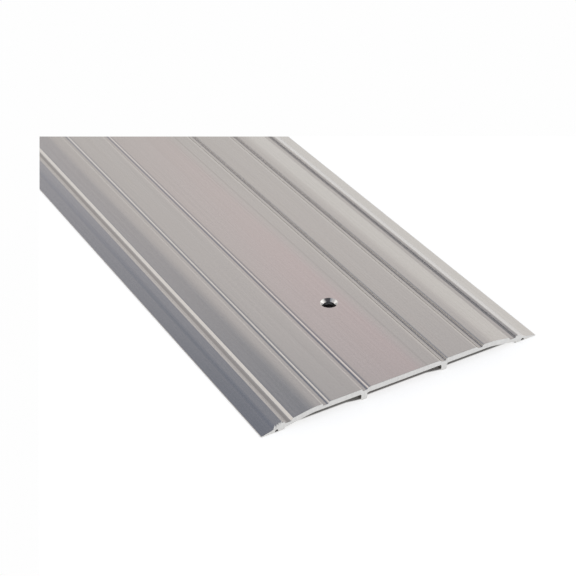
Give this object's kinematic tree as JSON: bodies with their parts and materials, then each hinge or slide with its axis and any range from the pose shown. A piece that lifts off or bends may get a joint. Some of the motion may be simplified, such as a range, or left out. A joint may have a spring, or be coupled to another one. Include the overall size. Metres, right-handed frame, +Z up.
{
  "type": "threshold strip",
  "caption": "Low saddle threshold strip in extruded aluminium: grooved flat top, sloping sides with thin flanges, and countersunk holes on its centre line with seated flat-head wood screws.",
  "frame": {"origin": "on the floor plane, under the middle of the strip", "axes": "+X across the strip, +Y along it away from the end with the open screw hole, +Z up from the floor"},
  "size_m": [0.1524, 0.9144, 0.0381],
  "materials": {
    "mill_aluminium": "mill finish as extruded, satin, with bright sawn ends",
    "screw_steel": "stainless, turned and lightly polished"
  },
  "bodies": {
    "root": {"threshold_plate": "mill_aluminium", "fixing_screw_1": "screw_steel", "fixing_screw_2": "screw_steel", "fixing_screw_3": "screw_steel"}
  },
  "joints": []
}
